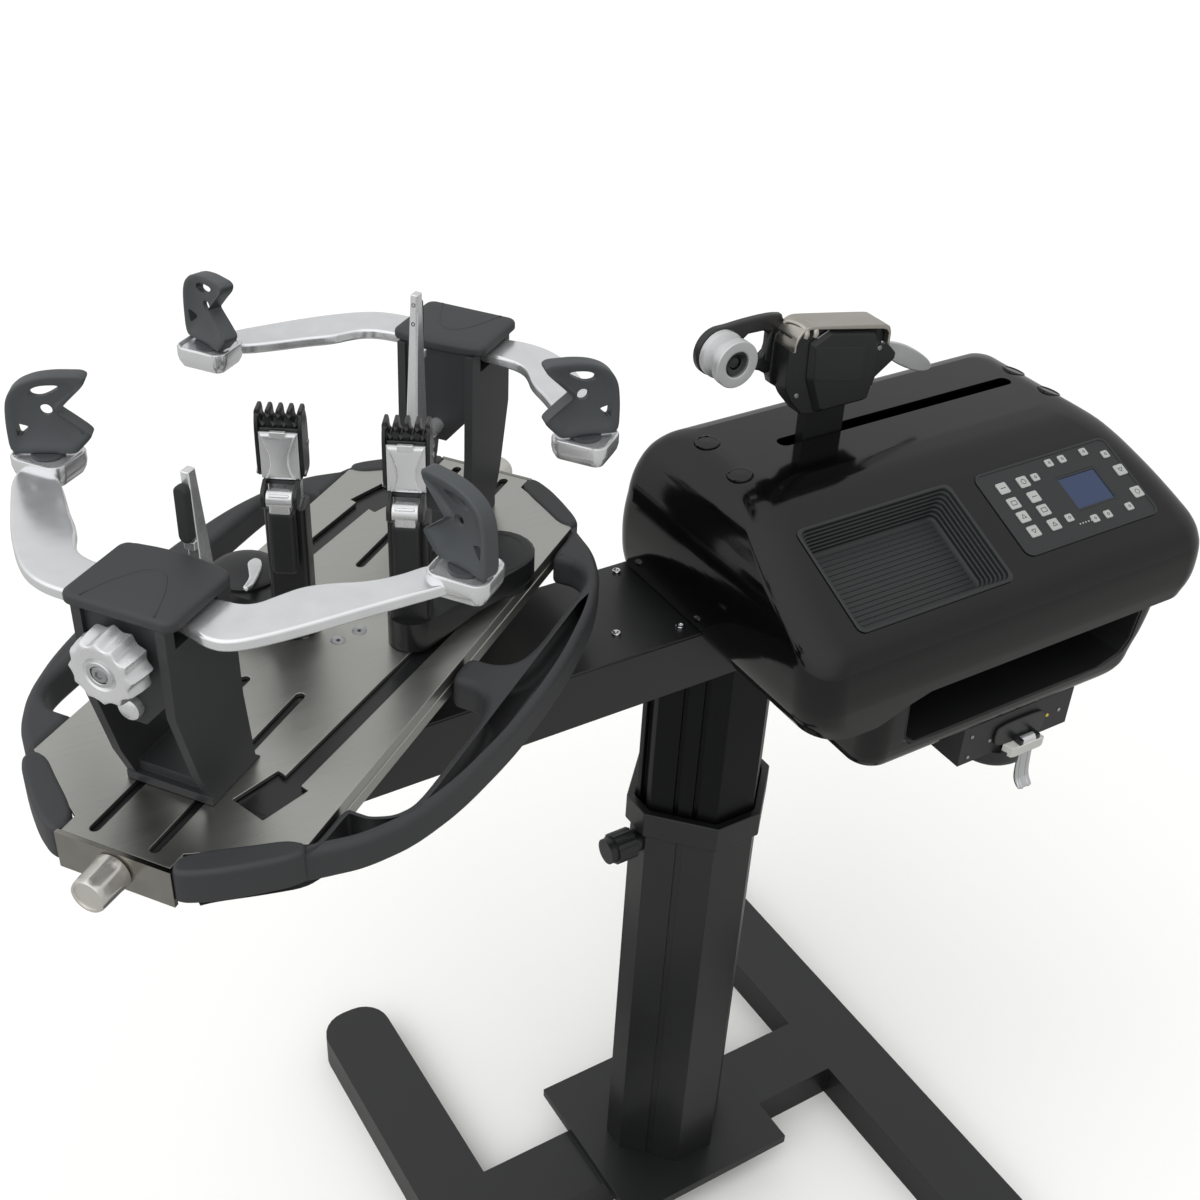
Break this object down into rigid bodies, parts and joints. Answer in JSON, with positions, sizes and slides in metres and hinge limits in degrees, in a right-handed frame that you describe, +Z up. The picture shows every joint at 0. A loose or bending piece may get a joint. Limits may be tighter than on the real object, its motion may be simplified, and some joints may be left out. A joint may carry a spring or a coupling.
{
  "type": "racket stringing machine",
  "caption": "Upright electronic racket stringing machine: height-adjustable column, turning frame clamp table with string clamps, and a tension head on a sliding carriage.",
  "frame": {"origin": "on the floor, on the vertical axis of the column", "axes": "+Z up, +X from the turntable towards the tension head, the operator stands on the -Y side"},
  "size_m": [1.133, 0.74, 1.249],
  "materials": {
    "base_paint": "satin black paint",
    "column_aluminium": "black anodised",
    "black_plastic": "satin",
    "panel_plastic": "fine grain",
    "housing_gloss": "high gloss",
    "grey_plastic": "soft sheen",
    "tower_casting": "powder coated",
    "black_metal": "satin black",
    "plate_steel": "brushed",
    "polished_aluminium": "polished",
    "screw_chrome": "bright",
    "cast_silver": "satin cast",
    "nickel": "satin nickel",
    "key_rubber": "matt grey membrane",
    "display": "clear blue lens",
    "pad_rubber": "matt"
  },
  "bodies": {
    "stand": {"base_frame": "base_paint", "column_lower": "base_paint", "column_collar": "base_paint"},
    "height_knob": {"height_knob": "grey_plastic"},
    "mast": {"column_upper": "column_aluminium", "support_beam": "base_paint", "beam_cover": "base_paint", "turntable_bearing": "cast_silver", "chassis": "base_paint", "housing_cover": "housing_gloss", "storage_bin": "black_plastic", "tool_tray": "panel_plastic", "keypad_panel": "panel_plastic", "keypad_membrane": "key_rubber", "display_window": "display", "guide_rail": "cast_silver", "drive_motor": "black_metal", "latch_box": "black_plastic"},
    "turntable": {"turntable_plate": "plate_steel", "turntable_hub": "cast_silver", "bumper_left": "grey_plastic", "bumper_right": "grey_plastic", "end_plate_front": "nickel", "end_plate_rear": "nickel"},
    "drive_screw": {"drive_screw": "screw_chrome"},
    "carriage": {"carriage_block": "black_metal", "gripper_housing": "black_plastic", "gripper_cap": "nickel", "diablo_arm": "black_metal"},
    "diablo_drum": {"diablo_drum": "polished_aluminium"},
    "gripper_lever": {"gripper_lever": "cast_silver"},
    "latch_lever": {"latch_lever": "cast_silver"},
    "tower_front": {"tower_body_front": "tower_casting", "tower_cap_front": "grey_plastic"},
    "adjuster_front": {"adjuster_front": "nickel"},
    "arm_knob_front": {"arm_knob_front": "cast_silver"},
    "centre_support_front": {"centre_support_front": "polished_aluminium", "support_pad_front": "pad_rubber"},
    "arm_front_left": {"arm_front_left": "polished_aluminium"},
    "holder_front_left": {"holder_front_left": "grey_plastic"},
    "arm_front_right": {"arm_front_right": "polished_aluminium"},
    "holder_front_right": {"holder_front_right": "grey_plastic"},
    "tower_rear": {"tower_body_rear": "tower_casting", "tower_cap_rear": "grey_plastic"},
    "adjuster_rear": {"adjuster_rear": "nickel"},
    "arm_knob_rear": {"arm_knob_rear": "cast_silver"},
    "centre_support_rear": {"centre_support_rear": "polished_aluminium", "support_pad_rear": "pad_rubber"},
    "arm_rear_left": {"arm_rear_left": "polished_aluminium"},
    "holder_rear_left": {"holder_rear_left": "grey_plastic"},
    "arm_rear_right": {"arm_rear_right": "polished_aluminium"},
    "holder_rear_right": {"holder_rear_right": "grey_plastic"},
    "clamp_base_right": {"clamp_base_right": "black_metal"},
    "clamp_post_right": {"clamp_post_right": "black_metal"},
    "clamp_head_right": {"clamp_head_right": "black_metal"},
    "clamp_lever_right": {"clamp_lever_right": "black_plastic"},
    "clamp_base_left": {"clamp_base_left": "black_metal"},
    "clamp_post_left": {"clamp_post_left": "black_metal"},
    "clamp_head_left": {"clamp_head_left": "black_metal"},
    "clamp_lever_left": {"clamp_lever_left": "black_plastic"}
  },
  "joints": [
    {"name": "column_height", "type": "slide", "parent": "stand", "child": "mast", "axis": [0, 0, 1], "range_m": [-0.15, 0.2]},
    {"name": "height_knob_turn", "type": "hinge", "parent": "stand", "child": "height_knob", "pos_m": [-0.1, 0, 0.592], "axis": [1, 0, 0], "range_deg": [-180, 180]},
    {"name": "turntable_spin", "type": "hinge", "parent": "mast", "child": "turntable", "pos_m": [-0.421, 0, 0.97], "axis": [0, 0, 1], "continuous": true},
    {"name": "tower_front_slide", "type": "slide", "parent": "turntable", "child": "tower_front", "axis": [-0.809, -0.5878, 0], "range_m": [-0.04, 0.045]},
    {"name": "adjuster_front_turn", "type": "hinge", "parent": "turntable", "child": "adjuster_front", "pos_m": [-0.6637, -0.17634, 0.983], "axis": [-0.809, -0.5878, 0], "range_deg": [-725, 815]},
    {"name": "centre_support_front_slide", "type": "slide", "parent": "tower_front", "child": "centre_support_front", "axis": [-0.809, -0.5878, 0], "range_m": [-0.02, 0.006]},
    {"name": "arm_front_left_swing", "type": "hinge", "parent": "tower_front", "child": "arm_front_left", "pos_m": [-0.61545, -0.12026, 1.168], "axis": [0, 0, 1], "range_deg": [-8, 8]},
    {"name": "holder_front_left_swivel", "type": "hinge", "parent": "arm_front_left", "child": "holder_front_left", "pos_m": [-0.61292, 0.08552, 1.18], "axis": [0, 0, 1], "range_deg": [-30, 30]},
    {"name": "arm_front_right_swing", "type": "hinge", "parent": "tower_front", "child": "arm_front_right", "pos_m": [-0.59546, -0.14777, 1.168], "axis": [0, 0, 1], "range_deg": [-8, 8]},
    {"name": "holder_front_right_swivel", "type": "hinge", "parent": "arm_front_right", "child": "holder_front_right", "pos_m": [-0.39897, -0.20896, 1.18], "axis": [0, 0, 1], "range_deg": [-30, 30]},
    {"name": "arm_knob_front_turn", "type": "hinge", "parent": "tower_front", "child": "arm_knob_front", "pos_m": [-0.63943, -0.1587, 1.147], "axis": [-0.809, -0.5878, 0], "range_deg": [-125, 125]},
    {"name": "tower_rear_slide", "type": "slide", "parent": "turntable", "child": "tower_rear", "axis": [0.809, 0.5878, 0], "range_m": [-0.04, 0.045]},
    {"name": "adjuster_rear_turn", "type": "hinge", "parent": "turntable", "child": "adjuster_rear", "pos_m": [-0.1702, 0.18221, 0.983], "axis": [0.809, 0.5878, 0], "range_deg": [-725, 815]},
    {"name": "centre_support_rear_slide", "type": "slide", "parent": "tower_rear", "child": "centre_support_rear", "axis": [0.809, 0.5878, 0], "range_m": [-0.02, 0.015]},
    {"name": "arm_rear_left_swing", "type": "hinge", "parent": "tower_rear", "child": "arm_rear_left", "pos_m": [-0.23845, 0.15365, 1.168], "axis": [0, 0, 1], "range_deg": [-8, 8]},
    {"name": "holder_rear_left_swivel", "type": "hinge", "parent": "arm_rear_left", "child": "holder_rear_left", "pos_m": [-0.43494, 0.21484, 1.18], "axis": [0, 0, 1], "range_deg": [-30, 30]},
    {"name": "arm_rear_right_swing", "type": "hinge", "parent": "tower_rear", "child": "arm_rear_right", "pos_m": [-0.21846, 0.12614, 1.168], "axis": [0, 0, 1], "range_deg": [-8, 8]},
    {"name": "holder_rear_right_swivel", "type": "hinge", "parent": "arm_rear_right", "child": "holder_rear_right", "pos_m": [-0.22099, -0.07965, 1.18], "axis": [0, 0, 1], "range_deg": [-30, 30]},
    {"name": "arm_knob_rear_turn", "type": "hinge", "parent": "tower_rear", "child": "arm_knob_rear", "pos_m": [-0.19448, 0.16458, 1.147], "axis": [0.809, 0.5878, 0], "range_deg": [-125, 125]},
    {"name": "clamp_base_right_slide", "type": "slide", "parent": "turntable", "child": "clamp_base_right", "axis": [0.8431, 0.5378, 0], "range_m": [-0.11, 0.014]},
    {"name": "clamp_post_right_swing", "type": "hinge", "parent": "clamp_base_right", "child": "clamp_post_right", "pos_m": [-0.25842, 0.0008, 1.015], "axis": [0, 0, 1], "range_deg": [-20, 20]},
    {"name": "clamp_head_right_lift", "type": "slide", "parent": "clamp_post_right", "child": "clamp_head_right", "axis": [0, 0, 1], "range_m": [-0.008, 0.012]},
    {"name": "clamp_lever_right_open", "type": "hinge", "parent": "clamp_head_right", "child": "clamp_lever_right", "pos_m": [-0.37911, -0.06707, 1.141], "axis": [-0.8387, 0.5446, 0], "range_deg": [0, 70]},
    {"name": "clamp_base_left_slide", "type": "slide", "parent": "turntable", "child": "clamp_base_left", "axis": [0.8431, 0.5378, 0], "range_m": [-0.065, 0.1]},
    {"name": "clamp_post_left_swing", "type": "hinge", "parent": "clamp_base_left", "child": "clamp_post_left", "pos_m": [-0.46955, 0.07193, 1.015], "axis": [0, 0, 1], "range_deg": [-25, 25]},
    {"name": "clamp_head_left_lift", "type": "slide", "parent": "clamp_post_left", "child": "clamp_head_left", "axis": [0, 0, 1], "range_m": [-0.008, 0.012]},
    {"name": "clamp_lever_left_open", "type": "hinge", "parent": "clamp_head_left", "child": "clamp_lever_left", "pos_m": [-0.45915, -0.00285, 1.141], "axis": [-0.8387, 0.5446, 0], "range_deg": [0, 70]},
    {"name": "carriage_travel", "type": "slide", "parent": "mast", "child": "carriage", "axis": [1, 0, 0], "range_m": [-0.018, 0.22]},
    {"name": "drive_screw_turn", "type": "hinge", "parent": "mast", "child": "drive_screw", "pos_m": [0.2, 0, 1], "axis": [1, 0, 0], "range_deg": [-265, 3175]},
    {"name": "diablo_spin", "type": "hinge", "parent": "carriage", "child": "diablo_drum", "pos_m": [-0.023, 0, 1.171], "axis": [0, 1, 0], "continuous": true},
    {"name": "gripper_lever_press", "type": "hinge", "parent": "carriage", "child": "gripper_lever", "pos_m": [0.165, 0, 1.144], "axis": [0, 1, 0], "range_deg": [-25, 8]},
    {"name": "latch_lever_open", "type": "hinge", "parent": "mast", "child": "latch_lever", "pos_m": [0.223, -0.243, 0.797], "axis": [-1, 0, 0], "range_deg": [0, 40]}
  ],
  "couplings": [
    {"joint": "adjuster_front_turn", "follows": "tower_front_slide", "rad_per_m": 314.16},
    {"joint": "arm_front_right_swing", "follows": "arm_front_left_swing", "ratio": -1},
    {"joint": "arm_knob_front_turn", "follows": "arm_front_left_swing", "ratio": 15},
    {"joint": "adjuster_rear_turn", "follows": "tower_rear_slide", "rad_per_m": 314.16},
    {"joint": "arm_rear_right_swing", "follows": "arm_rear_left_swing", "ratio": -1},
    {"joint": "arm_knob_rear_turn", "follows": "arm_rear_left_swing", "ratio": 15},
    {"joint": "drive_screw_turn", "follows": "carriage_travel", "rad_per_m": 251.33}
  ]
}
